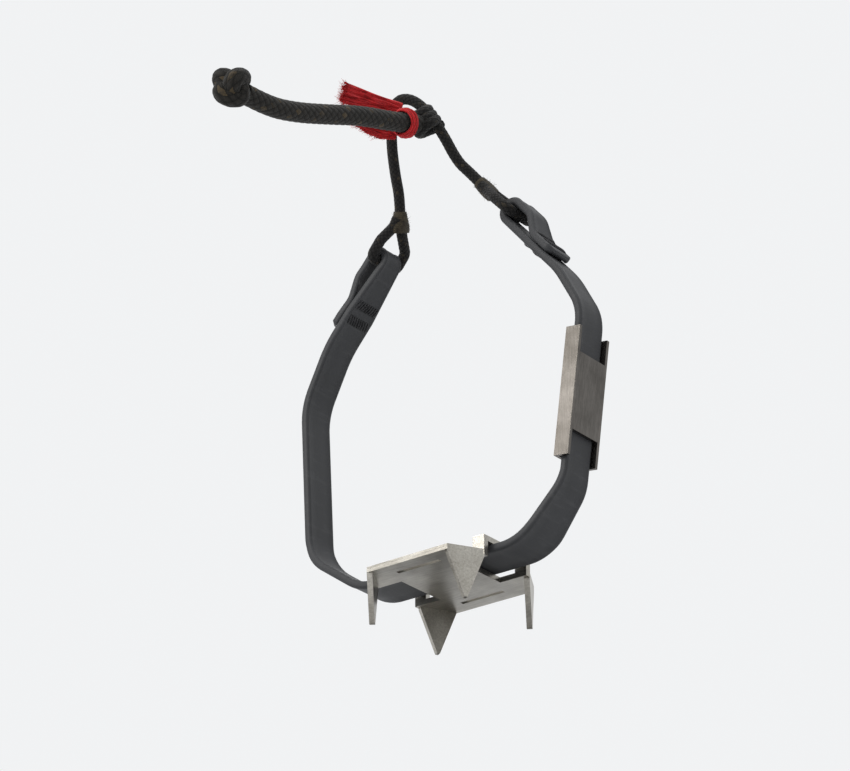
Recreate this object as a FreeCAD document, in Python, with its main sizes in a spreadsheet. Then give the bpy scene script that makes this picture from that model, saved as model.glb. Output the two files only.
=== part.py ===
import FreeCAD, Part
import math
import os
import Sketcher
from FreeCAD import Placement, Rotation, Vector

# Instep microspikes: a spiked plate on a strap, a slide buckle, and a cord over the instep.
# Frame: +X is the buckle side, -Y the toe, +Z up to the foot. The origin is the centre of the
# plate's ground side. Lengths are in millimetres and angles in degrees.

os.makedirs("parts", exist_ok=True)
doc = FreeCAD.newDocument("microspikes")
sheet = doc.addObject("Spreadsheet::Sheet", "Sizes")

SIZES = {
    # spiked plate
    "plateThick": 1.5,
    "plateHalfX": 18.5,
    "plateHalfY": 18.8,
    "edgeHalfX": 13.3,
    "edgeHalfY": 9.8,
    "spikeTall": 12.5,
    "spikeTipWide": 0.8,
    "slotLong": 14.0,
    "slotWide": 1.3,
    "slotFromCentre": 13.8,
    "openingStart": 10.0,
    "bridgeStart": 14.8,
    "bridgeHalfY": 10.0,
    "bridgeThick": 1.5,
    "bridgeGap": 0.3,
    "openingHalfY": 8.3,
    # strap
    "strapThick": 2.2,
    "strapWide": 14.0,
    "strapSlim": 10.5,
    "eyeWide": 7.0,
    "strapLift": 0.2,
    "foldGap": 1.0,
    "layerGap": 0.1,
    "hingeX": 23.5,
    "eyeZ": 102.0,
    "eyeRadius": 1.8,
    # buckle
    "buckleLong": 36.0,
    "buckleThick": 1.0,
    "buckleGap": 0.15,
    "railGap": 0.35,
    "buckleBar": 3.0,
    "buckleSlot": 4.2,
    # cords
    "cordDia": 3.0,
    "pullDia": 5.4,
    "knotDia": 11.6,
    "whipDia": 4.6,
    "whipLong": 6.0,
    "hitchRadiusX": 4.2,
    "hitchRadiusY": 5.4,
    "hitchRadiusZ": 4.4,
    # tab
    "tabWrapDia": 8.8,
    "tabWrapLong": 4.5,
    "tabThick": 1.6,
    "runningFit": 0.1,
}
for row, (alias, number) in enumerate(SIZES.items(), start=1):
    sheet.set(f"A{row}", alias)
    sheet.set(f"B{row}", str(number))
    sheet.setAlias(f"B{row}", alias)
doc.recompute()


def size(alias):
    """A driving dimension, read from the sheet."""
    return float(sheet.get(alias))


def bind(obj, prop, formula):
    """Ties a property to the sheet; $ stands for the sheet's name in the formula."""
    obj.setExpression(prop, formula.replace("$", "Sizes."))


def box(name, length, width, height, x, y, z):
    """A block bound to the sheet, placed by its lowest corner."""
    obj = doc.addObject("Part::Box", name)
    bind(obj, "Length", length)
    bind(obj, "Width", width)
    bind(obj, "Height", height)
    bind(obj, "Placement.Base.x", x)
    bind(obj, "Placement.Base.y", y)
    bind(obj, "Placement.Base.z", z)
    return obj


def cut(name, base, *tools):
    """The base with every tool taken away."""
    for number, tool in enumerate(tools, start=1):
        label = name if number == len(tools) else f"{name}_cut{number}"
        obj = doc.addObject("Part::Cut", label)
        obj.Base = base
        obj.Tool = tool
        base = obj
    return base


def fuse(name, pieces):
    """Several solids as one."""
    obj = doc.addObject("Part::MultiFuse", name)
    obj.Shapes = pieces
    obj.Refine = True
    return obj


def sketch_pad(name, plane, edges, length, midplane=True):
    """A body with one closed sketch on an origin plane, padded by a bound length."""
    body = doc.addObject("PartDesign::Body", name)
    sketch = body.newObject("Sketcher::SketchObject", name + "_outline")
    role = {"XY": "XY_Plane", "XZ": "XZ_Plane", "YZ": "YZ_Plane"}[plane]
    origin = next(f for f in body.Origin.OriginFeatures if f.Role == role)
    sketch.AttachmentSupport = [(origin, "")]
    sketch.MapMode = "FlatFace"
    sketch.addGeometry(edges, False)
    pad = body.newObject("PartDesign::Pad", name + "_pad")
    pad.Profile = sketch
    pad.Midplane = midplane
    bind(pad, "Length", length)
    doc.recompute()
    return body


def closed_lines(points):
    """The straight edges round a closed outline."""
    ends = points[1:] + points[:1]
    return [Part.LineSegment(Vector(*a, 0), Vector(*b, 0)) for a, b in zip(points, ends)]


# ---- routes: straight runs joined by tangent arcs ----


def arc_sizes(points):
    """The radius at each inner point: 0.45 of the shorter run over the tangent of half the turn."""
    radii = []
    for before, here, after in zip(points, points[1:], points[2:]):
        turn = (here - before).getAngle(after - here)
        shorter = min((here - before).Length, (after - here).Length)
        radii.append(0.45 * shorter / math.tan(turn / 2))
    return radii


def route_edges(points, radii):
    """The straight and arc edges along a route, in order."""
    edges = []
    start = points[0]
    for before, here, after, radius in zip(points, points[1:], points[2:], radii):
        back = (before - here).normalize()
        on = (after - here).normalize()
        turn = math.pi - back.getAngle(on)
        reach = radius * math.tan(turn / 2)
        middle = (back + on).normalize()
        first = here + back * reach
        last = here + on * reach
        crown = here + middle * (radius / math.cos(turn / 2) - radius)
        if (first - start).Length > 1e-6:
            edges.append(Part.LineSegment(start, first))
        edges.append(Part.Arc(first, crown, last))
        start = last
    edges.append(Part.LineSegment(start, points[-1]))
    return edges


def tube(name, points, diameter):
    """A round cord along a route, with its volume compared with its section times its length."""
    points = [Vector(*p) for p in points]
    radii = arc_sizes(points)
    path = Part.Wire([edge.toShape() for edge in route_edges(points, radii)])
    ring = Part.Circle(points[0], points[1] - points[0], diameter / 2).toShape()
    solid = path.makePipeShell([Part.Wire(ring)], True, False)
    expected = math.pi * diameter**2 / 4 * path.Length
    print(name, "length", round(path.Length, 1), "radii", [round(r, 1) for r in radii])
    print(name, "volume over section times length", round(solid.Volume / expected, 4))
    return feature(name, solid)


def feature(name, shape):
    """A free-form piece whose shape is made here from the sheet's sizes."""
    obj = doc.addObject("Part::Feature", name)
    obj.Shape = shape
    return obj


# ---- the strap's side view: a band of even thickness along a route in X and Z ----


def turn_left(v):
    return Vector(-v.y, v.x, 0)


def band(points, radii, thick):
    """The closed outline of a band along a planar route, as sketch edges."""
    sides = []
    for side in (thick / 2, -thick / 2):
        shifted = []
        moved = []
        for number, here in enumerate(points):
            ways = []
            if number > 0:
                ways.append((here - points[number - 1]).normalize())
            if number < len(points) - 1:
                ways.append((points[number + 1] - here).normalize())
            normals = [turn_left(way) for way in ways]
            bisector = (normals[0] + normals[-1]).normalize()
            shifted.append(here + bisector * (side / bisector.dot(normals[0])))
            if len(ways) == 2:
                bend = ways[0].cross(ways[1]).z
                moved.append(radii[number - 1] - side * math.copysign(1, bend))
        sides.append((shifted, route_edges(shifted, moved)))
    (upper, upper_edges), (lower, lower_edges) = sides
    caps = [Part.LineSegment(upper[-1], lower[-1]), Part.LineSegment(lower[0], upper[0])]
    return upper_edges + lower_edges + caps


strap_z = size("plateThick") + size("strapLift") + size("strapThick") / 2
HINGE_BEND = 14.0  # radius of the strap's first bend, beside the plate
FLAT_END = 21.2  # where the strap starts to rise
SEAM_START = -6.5  # along the strap from its eye: where the end folds back in
SEAM_CLOSED = -13.0  # where the two layers meet
STRAP_END = -22.0
SEAM_BEND = 5.0


def on_bend(angle):
    """The strap's centre at an angle round its first bend."""
    return Vector(
        FLAT_END + HINGE_BEND * math.sin(angle), strap_z + HINGE_BEND * (1 - math.cos(angle)), 0
    )


def bend_corner(first, last):
    """Where the tangents at two angles of the first bend meet."""
    middle = (first + last) / 2
    away = HINGE_BEND / math.cos((last - first) / 2)
    return Vector(
        FLAT_END + away * math.sin(middle), strap_z + HINGE_BEND - away * math.cos(middle), 0
    )


hinge_angle = math.asin((size("hingeX") - FLAT_END) / HINGE_BEND)
half_gap_angle = size("foldGap") / 2 / HINGE_BEND
hinge_z = on_bend(hinge_angle).y
eye = Vector(size("hingeX"), size("eyeZ"), 0)
eye_bend = size("eyeRadius") + size("strapThick") / 2
print("hinge", round(size("hingeX"), 3), round(hinge_z, 3), "eye", eye)


def mirrored(points):
    return [Vector(-p.x, p.y, 0) for p in points]


def side_route(low, high, neck, low_bend, high_bend, neck_bend):
    """A side strap's route: up from the plate, through its bends, round the eye and back."""
    first = hinge_angle + half_gap_angle
    start = on_bend(first)
    # the first bend ends where its tangent points at the next corner
    last = first
    for _ in range(60):
        to_low = low - on_bend(last)
        last = math.atan2(to_low.y, to_low.x)
    # the strap passes the eye on its inner side, one eye bend away
    span = eye - neck
    lean = math.asin(eye_bend / span.Length)
    way = Vector(
        span.x * math.cos(lean) - span.y * math.sin(lean),
        span.x * math.sin(lean) + span.y * math.cos(lean),
        0,
    ).normalize()
    out = Vector(way.y, -way.x, 0)

    def by_eye(along, outward):
        return eye + way * along + out * outward

    outer_layer = size("strapThick") + size("layerGap") - eye_bend
    points = [start, bend_corner(first, last), low, high, neck]
    points += [by_eye(eye_bend, -eye_bend), by_eye(eye_bend, eye_bend)]
    points += [by_eye(SEAM_START, eye_bend), by_eye(SEAM_CLOSED, outer_layer)]
    points.append(by_eye(STRAP_END, outer_layer))
    radii = [HINGE_BEND, low_bend, high_bend, neck_bend, eye_bend, eye_bend, SEAM_BEND, SEAM_BEND]
    return points, radii


lateral_low = Vector(40.0, 17.0, 0)
lateral_high = Vector(46.6, 65.0, 0)
lateral_points, lateral_radii = side_route(
    lateral_low, lateral_high, Vector(39.5, 78.5, 0), 12.0, 14.0, 30.0
)
medial_points, medial_radii = side_route(
    Vector(45.0, 16.5, 0), Vector(47.6, 63.0, 0), Vector(39.5, 79.5, 0), 14.0, 20.0, 30.0
)
medial_points = mirrored(medial_points)


# ---- spiked plate ----


SPIKE_ROOT = 0.4  # how far below the plate a spike keeps its full width


def spike(number, sign_x, sign_y):
    """A triangle folded down along one cut corner."""
    low = Vector(size("edgeHalfX"), size("plateHalfY"), 0)
    high = Vector(size("plateHalfX"), size("edgeHalfY"), 0)
    width = (high - low).Length
    half = width / 2
    tip = size("spikeTipWide") / 2
    top = size("plateThick")
    outline = [(-half, top), (half, top), (half, -SPIKE_ROOT), (tip, -size("spikeTall"))]
    outline += [(-tip, -size("spikeTall")), (-half, -SPIKE_ROOT)]
    body = sketch_pad(f"spike_{number}", "XZ", closed_lines(outline), "$plateThick")
    middle = (low + high) * 0.5
    outward = Vector(low.y - high.y, high.x - low.x, 0).normalize()
    middle = middle - outward * (size("plateThick") / 2)
    middle = Vector(middle.x * sign_x, middle.y * sign_y, 0)
    angle = math.degrees(math.atan2(high.y - low.y, high.x - low.x)) * sign_x * sign_y
    body.Placement = Placement(middle, Rotation(Vector(0, 0, 1), angle))
    return body


def spiked_plate():
    x, y = size("plateHalfX"), size("plateHalfY")
    ex, ey = size("edgeHalfX"), size("edgeHalfY")
    corners = [(ex, -y), (x, -ey), (x, ey), (ex, y), (-ex, y), (-x, ey), (-x, -ey), (-ex, -y)]
    blank = sketch_pad("plate_blank", "XY", closed_lines(corners), "$plateThick", midplane=False)
    tools = []
    for side in (-1, 1):
        tools.append(
            box(
                f"thin_slot_{side + 1}",
                "$slotLong",
                "$slotWide",
                "3 * $plateThick",
                "-$slotLong / 2",
                f"{side} * $slotFromCentre - $slotWide / 2",
                "-$plateThick",
            )
        )
        start = "$openingStart" if side > 0 else "-$plateHalfX - 1"
        tools.append(
            box(
                f"strap_opening_{side + 1}",
                "$plateHalfX + 1 - $openingStart",
                "2 * $openingHalfY",
                "3 * $plateThick",
                start,
                "-$openingHalfY",
                "-$plateThick",
            )
        )
    pieces = [cut("plate_sheet", blank, *tools)]
    gate_top = "$plateThick + $strapLift + $strapThick + $bridgeGap"
    for side in (-1, 1):
        start = "$bridgeStart" if side > 0 else "-$plateHalfX"
        wide = "$plateHalfX - $bridgeStart"
        gate = box(
            f"bridge_{side + 1}",
            wide,
            "2 * $bridgeHalfY",
            gate_top + " + $bridgeThick",
            start,
            "-$bridgeHalfY",
            "0",
        )
        way = box(
            f"bridge_way_{side + 1}",
            wide + " + 2",
            "2 * $openingHalfY",
            gate_top + " + 1",
            start + " - 1",
            "-$openingHalfY",
            "-1",
        )
        pieces.append(cut(f"bridge_open_{side + 1}", gate, way))
    number = 0
    for sign_x in (-1, 1):
        for sign_y in (-1, 1):
            pieces.append(spike(number, sign_x, sign_y))
            number += 1
    return fuse("spike_plate", pieces)


# ---- strap pieces ----


def tapered(name, pad, marks):
    """Trims a strap's width: marks are (height, half width) pairs from the bottom up."""
    outline = [(half, z) for z, half in marks] + [(-half, z) for z, half in reversed(marks)]
    envelope = sketch_pad(name + "_width", "YZ", closed_lines(outline), "300")
    common = doc.addObject("Part::Common", name)
    common.Base = pad
    common.Tool = envelope
    return common


STRAP_WIDTHS = [
    (-5, "strapWide"),
    (6, "strapWide"),
    (20, "strapSlim"),
    (88, "strapSlim"),
    (101, "eyeWide"),
    (120, "eyeWide"),
]


def side_strap(name, points, radii):
    """A side strap from its fold to its sewn eye, narrowed above the plate and at the eye."""
    pad = sketch_pad(name + "_side", "XZ", band(points, radii, size("strapThick")), "$strapWide")
    return tapered(name, pad, [(height, size(alias) / 2) for height, alias in STRAP_WIDTHS])


def sole_strap():
    """The strap under the foot, between its two folds."""
    last = hinge_angle - half_gap_angle
    right = [Vector(0, strap_z, 0), bend_corner(0, last), on_bend(last)]
    points = mirrored(right[:0:-1]) + right[1:]
    edges = band(points, [HINGE_BEND, HINGE_BEND], size("strapThick"))
    return sketch_pad("sole_strap", "XZ", edges, "$strapWide")


# ---- slide buckle ----


BUCKLE_AT = 24.2  # the buckle's centre, up the strap's straight run


def buckle():
    """A bent plate: face outside the strap, end bars inside it, and a wall down each edge."""
    along = (lateral_high - lateral_low).normalize()
    centre = lateral_low + along * BUCKLE_AT
    lean = math.degrees(math.atan2(along.x, along.y))
    half_y = "($strapSlim / 2 + $railGap + $buckleThick)"
    deep = "($strapThick / 2 + $buckleGap + $buckleThick)"
    open_y = "$strapSlim + 2 * $railGap"
    open_start = "-$strapSlim / 2 - $railGap"
    reach = "($buckleBar + $buckleSlot)"
    shell = box(
        "buckle_block",
        "2 * " + deep,
        "2 * " + half_y,
        "$buckleLong",
        "-" + deep,
        "-" + half_y,
        "-$buckleLong / 2",
    )
    inner = box(
        "buckle_way",
        "$strapThick + 2 * $buckleGap",
        open_y,
        "$buckleLong + 2",
        "-$strapThick / 2 - $buckleGap",
        open_start,
        "-$buckleLong / 2 - 1",
    )
    back = box(
        "buckle_back",
        deep + " + 1",
        open_y,
        "$buckleLong - 2 * $buckleBar",
        "-" + deep + " - 1",
        open_start,
        "-$buckleLong / 2 + $buckleBar",
    )
    face_cut = (deep + " + 1", open_y, reach + " + 1", "0", open_start)
    upper = box("buckle_slot_up", *face_cut, "$buckleLong / 2 - " + reach)
    lower = box("buckle_slot_low", *face_cut, "-$buckleLong / 2 - 1")
    whole = cut("buckle", shell, inner, back, upper, lower)
    whole.Placement = Placement(Vector(centre.x, 0, centre.y), Rotation(Vector(0, 1, 0), lean))
    return whole


# ---- cords ----

ROUTE_INSTEP = [
    (14.6, -2.4, 112.0),
    (11.0, -5.0, 117.2),
    (8.8, -8.0, 120.3),
    (6.7, -12.5, 128.9),
    (1.4, -17.0, 138.8),
    (-5.5, -18.5, 140.1),
    (-9.8, -14.0, 131.0),
    (-12.4, -8.8, 123.0),
    (-13.6, -5.0, 117.2),
    (-15.6, -2.4, 111.6),
]
ROUTE_PULL = [
    (3.0, -18.5, 129.3),
    (2.2, -28.0, 126.0),
    (1.6, -41.0, 122.2),
    (0.8, -54.0, 116.8),
    (0.4, -67.0, 111.6),
    (0.0, -78.0, 108.6),
    (-0.2, -87.0, 108.4),
]
HITCH = Vector(3.2, -15.8, 131.4)
BAIL_LEG = 5.5  # how far the bail runs straight past the strap's tip
BAIL_BENDS = [2.4, 1.7, 1.7, 2.4]


def bail(name, side):
    """The cord's end taken through the strap's eye and back to its whipping."""
    dia = size("cordDia")
    reach = size("eyeWide") / 2 + dia / 2 + 0.5
    sign = 1 if side == "lateral" else -1
    target = ROUTE_INSTEP[0] if side == "lateral" else ROUTE_INSTEP[-1]
    start = Vector(sign * eye.x, 0, eye.y)
    end = Vector(*target)
    way = (end - start).normalize()
    end = end - way * (size("whipLong") / 2 - 1)
    leg = Vector(way.x, 0, way.z).normalize() * BAIL_LEG
    across = Vector(0, 1, 0)
    near = dia / 2 + 0.15
    points = [end - across * near]
    points += [start + leg - across * reach, start - across * reach]
    points += [start + across * reach, start + leg + across * reach, end + across * near]
    path = Part.Wire([edge.toShape() for edge in route_edges(points, BAIL_BENDS)])
    ring = Part.Circle(points[0], points[1] - points[0], dia / 2).toShape()
    return feature(name, path.makePipeShell([Part.Wire(ring)], True, False))


def barrel(name, centre, way, diameter, length):
    """A round wrapping centred on a point, with softened ends."""
    wrap = doc.addObject("Part::Cylinder", name + "_wrap")
    bind(wrap, "Radius", diameter + " / 2")
    bind(wrap, "Height", length)
    doc.recompute()
    soft = doc.addObject("Part::Fillet", name)
    soft.Base = wrap
    edges = [number for number, edge in enumerate(wrap.Shape.Edges, start=1) if len(edge.Vertexes) == 1]
    soft.Edges = [(number, 0.8, 0.8) for number in edges]
    turn = Rotation(Vector(0, 0, 1), way)
    soft.Placement = Placement(centre - way * (wrap.Height.Value / 2), turn)
    return soft


def whipping(name, side):
    """The thread wound where the cord's end is laid back along itself."""
    ends = ROUTE_INSTEP[:2] if side == "lateral" else ROUTE_INSTEP[:-3:-1]
    here, there = (Vector(*p) for p in ends)
    way = (there - here).normalize()
    return barrel(name, here, way, "$whipDia", "$whipLong")


def stopper_knot():
    """The knot that ends the pull cord, as its outer shape."""
    last, before = Vector(*ROUTE_PULL[-1]), Vector(*ROUTE_PULL[-2])
    way = (last - before).normalize()
    knot = doc.addObject("Part::Ellipsoid", "stopper_knot")
    bind(knot, "Radius1", "$knotDia / 2 - 0.6")
    bind(knot, "Radius2", "$knotDia / 2")
    bind(knot, "Radius3", "$knotDia / 2 - 0.3")
    doc.recompute()
    turn = Rotation(Vector(0, 0, 1), way)
    knot.Placement = Placement(last + way * (knot.Radius1.Value - 0.5), turn)
    return knot


def cord_hitch():
    """The hitch that joins the pull cord to the top of the instep cord."""
    ball = doc.addObject("Part::Ellipsoid", "cord_hitch")
    bind(ball, "Radius1", "$hitchRadiusX")
    bind(ball, "Radius2", "$hitchRadiusY")
    bind(ball, "Radius3", "$hitchRadiusZ")
    ball.Placement = Placement(HITCH, Rotation(Vector(1, 0, 0), 20))
    return ball


TAB_AT = 5.0  # how far along the pull cord the tab is tied
TAIL_OUT = 4.1  # the tails lie in a plane beside the cord, this far from its centre
LONG_TAIL_UP = 3.8
SHORT_TAIL_DOWN = 2.8


def tab_pieces():
    """A cloth strip tied round the pull cord: a wrap and its two folded tails."""
    first, second = Vector(*ROUTE_PULL[0]), Vector(*ROUTE_PULL[1])
    way = (second - first).normalize()
    centre = first + way * TAB_AT
    wrap = doc.addObject("Part::Cylinder", "tab_wrap_outside")
    bind(wrap, "Radius", "$tabWrapDia / 2")
    bind(wrap, "Height", "$tabWrapLong")
    bore = doc.addObject("Part::Cylinder", "tab_wrap_bore")
    bind(bore, "Radius", "$pullDia / 2 + $runningFit")
    bind(bore, "Height", "$tabWrapLong + 2")
    turn = Rotation(Vector(0, 0, 1), way)
    half_wrap = size("tabWrapLong") / 2
    wrap.Placement = Placement(centre - way * half_wrap, turn)
    bore.Placement = Placement(centre - way * (half_wrap + 1), turn)
    ring = cut("tab_wrap", wrap, bore)
    # both tails point to the toe and a little inwards, with their faces to the buckle side
    lie = Rotation(Vector(0, 0, 1), -20.6) * Rotation(Vector(0, 1, 0), -67.8)
    up = lie.multVec(Vector(1, 0, 0))
    beside = centre + lie.multVec(Vector(0, 0, 1)) * TAIL_OUT
    long_tail = tail("tab_long_tail", [(0, 2.0), (9, 2.3), (18, 2.8)])
    long_tail.Placement = Placement(beside + up * LONG_TAIL_UP, lie)
    short_tail = tail("tab_short_tail", [(0, 1.6), (4.5, 2.6), (9, 2.2), (12.5, 0.6)])
    short_tail.Placement = Placement(beside - up * SHORT_TAIL_DOWN, lie)
    return [ring, long_tail, short_tail]


def tail(name, widths):
    """A flat cloth tail pointing to the toe: half widths at distances from its root."""
    right = [(half, -along) for along, half in widths]
    left = [(-half, -along) for along, half in widths]
    return sketch_pad(name, "XY", closed_lines(right + left[::-1]), "$tabThick")


subparts = [
    spiked_plate(),
    sole_strap(),
    side_strap("lateral_strap", lateral_points, lateral_radii),
    side_strap("medial_strap", medial_points, medial_radii),
    buckle(),
    tube("instep_cord", ROUTE_INSTEP, size("cordDia")),
    bail("lateral_bail", "lateral"),
    bail("medial_bail", "medial"),
    whipping("lateral_whipping", "lateral"),
    whipping("medial_whipping", "medial"),
    cord_hitch(),
    tube("pull_cord", ROUTE_PULL, size("pullDia")),
    stopper_knot(),
    *tab_pieces(),
]
doc.recompute()

for obj in doc.Objects:
    if {"Invalid", "Error"} & set(obj.State):
        raise RuntimeError(f"{obj.Name} failed: {obj.State}")
for part in subparts:
    if part.Shape.isNull() or not part.Shape.isValid():
        raise RuntimeError(f"{part.Name} has no valid shape")
    part.Label = part.Name
    part.Shape.exportStep(f"parts/{part.Label}.step")
    print(part.Label, "solids", len(part.Shape.Solids), "volume", round(part.Shape.Volume, 1))
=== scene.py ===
import math
import random

import bpy
from mathutils import Matrix, Quaternion, Vector


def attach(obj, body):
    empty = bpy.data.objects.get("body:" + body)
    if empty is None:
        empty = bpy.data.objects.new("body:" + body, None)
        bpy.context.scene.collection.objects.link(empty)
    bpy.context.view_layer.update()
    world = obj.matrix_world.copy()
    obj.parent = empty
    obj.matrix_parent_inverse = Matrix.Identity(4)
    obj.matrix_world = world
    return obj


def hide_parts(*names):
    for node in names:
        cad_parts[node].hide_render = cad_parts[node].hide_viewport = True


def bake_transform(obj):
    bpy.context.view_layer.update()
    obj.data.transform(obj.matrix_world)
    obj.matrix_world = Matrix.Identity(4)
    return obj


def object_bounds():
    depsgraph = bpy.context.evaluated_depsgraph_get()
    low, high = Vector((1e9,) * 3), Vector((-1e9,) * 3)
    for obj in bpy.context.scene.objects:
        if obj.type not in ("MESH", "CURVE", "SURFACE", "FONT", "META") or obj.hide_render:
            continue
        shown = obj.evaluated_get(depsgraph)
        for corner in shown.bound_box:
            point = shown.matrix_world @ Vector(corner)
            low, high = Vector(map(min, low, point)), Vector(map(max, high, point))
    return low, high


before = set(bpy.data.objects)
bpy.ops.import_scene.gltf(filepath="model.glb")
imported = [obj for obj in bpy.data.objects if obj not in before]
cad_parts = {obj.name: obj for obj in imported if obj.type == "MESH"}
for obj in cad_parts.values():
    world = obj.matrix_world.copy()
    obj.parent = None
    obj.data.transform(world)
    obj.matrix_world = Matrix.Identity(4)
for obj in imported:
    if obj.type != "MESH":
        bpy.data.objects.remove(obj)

# Instep microspikes. Shapes are worked out in millimetres and written to meshes in metres.
MM = 0.001
cad_box = [list(corner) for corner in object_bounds()]


# ---------------------------------------------------------------- camera and light

LOOK_AT = Vector((8.3, -21.7, 46.7)) * MM
CAMERA_AZIMUTH = 38.0
CAMERA_ELEVATION = -25.5
CAMERA_DISTANCE = 0.8487
LENS_MM = 136.6


def place_camera():
    """A long lens, low on the toe side, looking up past the sole."""
    turn = math.radians(CAMERA_AZIMUTH)
    rise = math.radians(CAMERA_ELEVATION)
    level = Vector((math.sin(turn), -math.cos(turn), 0))
    back = level * math.cos(rise) + Vector((0, 0, math.sin(rise)))
    data = bpy.data.cameras.new("camera")
    data.lens = LENS_MM
    data.sensor_width = 36.0
    data.clip_start = 0.01
    camera = bpy.data.objects.new("camera", data)
    camera.location = LOOK_AT + back * CAMERA_DISTANCE
    camera.rotation_euler = back.to_track_quat("Z", "Y").to_euler()
    bpy.context.collection.objects.link(camera)
    bpy.context.scene.camera = camera


def area_light(name, place, aim, size, power, colour=(1, 1, 1)):
    data = bpy.data.lights.new(name, "AREA")
    data.shape = "RECTANGLE"
    data.size = size
    data.size_y = size
    data.energy = power
    data.color = colour
    light = bpy.data.objects.new(name, data)
    light.location = place
    light.rotation_euler = (Vector(place) - Vector(aim)).to_track_quat("Z", "Y").to_euler()
    bpy.context.collection.objects.link(light)


def place_lights():
    """A pale studio, darker straight below, with a key light on the toe side and softer ones."""
    world = bpy.data.worlds.new("studio")
    world.use_nodes = True
    tree = world.node_tree
    ground = tree.nodes["Background"]
    ground.inputs["Strength"].default_value = 1.0
    source = tree.nodes.new("ShaderNodeTexCoord")
    split = tree.nodes.new("ShaderNodeSeparateXYZ")
    depth = tree.nodes.new("ShaderNodeMapRange")
    depth.inputs["From Min"].default_value = -0.40
    depth.inputs["From Max"].default_value = -0.04
    ramp = tree.nodes.new("ShaderNodeValToRGB")
    low, high = ramp.color_ramp.elements
    low.color = (0.10, 0.10, 0.105, 1)
    high.color = (0.88, 0.89, 0.90, 1)
    tree.links.new(source.outputs["Generated"], split.inputs["Vector"])
    tree.links.new(split.outputs["Z"], depth.inputs["Value"])
    tree.links.new(depth.outputs["Result"], ramp.inputs["Fac"])
    tree.links.new(ramp.outputs["Color"], ground.inputs["Color"])
    bpy.context.scene.world = world
    bpy.context.scene.view_settings.view_transform = "Standard"
    aim = (0, 0, 0.05)
    area_light("key", (-0.25, -0.75, 0.45), aim, 0.35, 3.5, (1.0, 0.98, 0.95))
    area_light("fill", (0.75, -0.45, -0.20), aim, 0.3, 1.3)
    area_light("under", (-0.10, -0.40, -0.50), aim, 0.2, 1.2, (0.96, 0.98, 1.0))
    area_light("rim", (-0.60, 0.45, 0.45), aim, 0.3, 2.0)
    area_light("top", (0.0, 0.0, 0.85), aim, 0.5, 1.5)


# ---------------------------------------------------------------- materials

STRANDS = 8  # a braid's strands in each direction
YARNS = 6  # ridges of yarn on a strand


class Shader:
    """A node material built up from short calls."""

    def __init__(self, name, **sockets):
        self.material = bpy.data.materials.new(name)
        self.material.use_nodes = True
        self.tree = self.material.node_tree
        self.base = self.tree.nodes["Principled BSDF"]
        for socket, value in sockets.items():
            self.base.inputs[socket.replace("_", " ")].default_value = value

    def node(self, kind, **settings):
        node = self.tree.nodes.new(kind)
        for key, value in settings.items():
            if key in node.inputs.keys():
                node.inputs[key].default_value = value
            else:
                setattr(node, key, value)
        return node

    def link(self, start, end):
        self.tree.links.new(start, end)

    def coordinates(self, kind="Object", scale=(1, 1, 1)):
        """Texture coordinates, scaled."""
        source = self.node("ShaderNodeTexCoord")
        mapping = self.node("ShaderNodeMapping")
        mapping.inputs["Scale"].default_value = scale
        self.link(source.outputs[kind], mapping.inputs["Vector"])
        return mapping.outputs["Vector"]

    def noise(self, vector, scale, detail=4.0, roughness=0.6):
        node = self.node("ShaderNodeTexNoise", Scale=scale, Detail=detail, Roughness=roughness)
        self.link(vector, node.inputs["Vector"])
        return node.outputs["Fac"]

    def ramp(self, factor, stops):
        """A colour ramp; stops are (place, colour) pairs."""
        node = self.node("ShaderNodeValToRGB")
        ends = node.color_ramp.elements
        while len(ends) < len(stops):
            ends.new(0.5)
        for end, (place, colour) in zip(ends, stops):
            end.position = place
            end.color = (*colour, 1)
        self.link(factor, node.inputs["Fac"])
        return node.outputs["Color"]

    def mix(self, factor, first, second, blend="MIX"):
        node = self.node("ShaderNodeMix", data_type="RGBA", blend_type=blend)
        if isinstance(factor, float):
            node.inputs["Factor"].default_value = factor
        else:
            self.link(factor, node.inputs["Factor"])
        self.link(first, node.inputs["A"])
        self.link(second, node.inputs["B"])
        return node.outputs["Result"]

    def span(self, value, low, high):
        """A value from 0 to 1 moved to low..high."""
        node = self.node("ShaderNodeMapRange")
        node.inputs["To Min"].default_value = low
        node.inputs["To Max"].default_value = high
        self.link(value, node.inputs["Value"])
        return node.outputs["Result"]

    def colour(self, value):
        self.link(value, self.base.inputs["Base Color"])

    def roughness(self, value):
        self.link(value, self.base.inputs["Roughness"])

    def bump(self, heights):
        """Stacks bumps; heights are (value, strength, distance in metres)."""
        normal = None
        for value, strength, distance in heights:
            node = self.node("ShaderNodeBump", Strength=strength, Distance=distance)
            self.link(value, node.inputs["Height"])
            if normal:
                self.link(normal, node.inputs["Normal"])
            normal = node.outputs["Normal"]
        self.link(normal, self.base.inputs["Normal"])

    def edges(self, low, high):
        """White on convex edges, from the mesh's pointiness."""
        geometry = self.node("ShaderNodeNewGeometry")
        node = self.node("ShaderNodeMapRange")
        node.inputs["From Min"].default_value = low
        node.inputs["From Max"].default_value = high
        self.link(geometry.outputs["Pointiness"], node.inputs["Value"])
        return node.outputs["Result"]


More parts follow.
